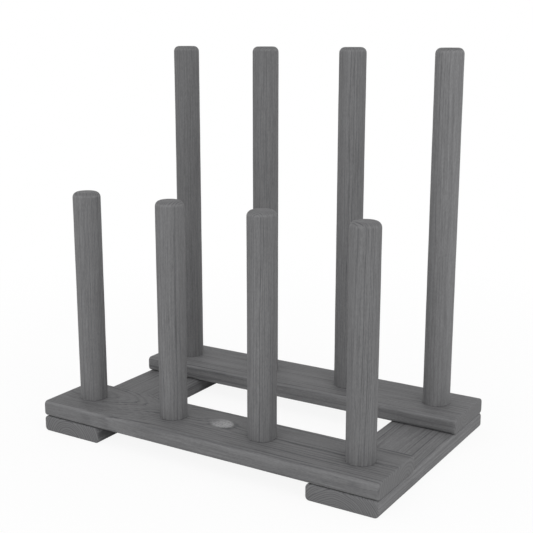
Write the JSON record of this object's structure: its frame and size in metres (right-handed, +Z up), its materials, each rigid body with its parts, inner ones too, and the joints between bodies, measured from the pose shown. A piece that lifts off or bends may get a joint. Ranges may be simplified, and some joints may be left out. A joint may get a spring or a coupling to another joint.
{
  "type": "boot rack",
  "caption": "Free-standing wooden boot rack: boards form a low frame that carries a front row of short round posts and a back row of tall ones, for boots to hang on upside down.",
  "frame": {"origin": "middle of the footprint on the floor, at the underside of the sleepers", "axes": "+X along the rails to the right, +Y to the back (the short posts face -Y), +Z up"},
  "size_m": [0.5, 0.324, 0.509],
  "materials": {
    "grey_stained_softwood": "brushed softwood with a matt dark grey stain",
    "zinc_plated_steel": "bright zinc plate"
  },
  "bodies": {
    "root": {"left_sleeper": "grey_stained_softwood", "right_sleeper": "grey_stained_softwood", "front_rail": "grey_stained_softwood", "back_rail": "grey_stained_softwood", "front_post_1": "grey_stained_softwood", "front_post_2": "grey_stained_softwood", "front_post_3": "grey_stained_softwood", "front_post_4": "grey_stained_softwood", "back_post_1": "grey_stained_softwood", "back_post_2": "grey_stained_softwood", "back_post_3": "grey_stained_softwood", "back_post_4": "grey_stained_softwood", "front_post_screw_1": "zinc_plated_steel", "front_post_screw_2": "zinc_plated_steel", "front_post_screw_3": "zinc_plated_steel", "front_post_screw_4": "zinc_plated_steel", "back_post_screw_1": "zinc_plated_steel", "back_post_screw_2": "zinc_plated_steel", "back_post_screw_3": "zinc_plated_steel", "back_post_screw_4": "zinc_plated_steel", "left_front_joint_screws": "zinc_plated_steel", "left_back_joint_screws": "zinc_plated_steel", "right_front_joint_screws": "zinc_plated_steel", "right_back_joint_screws": "zinc_plated_steel"}
  },
  "joints": []
}
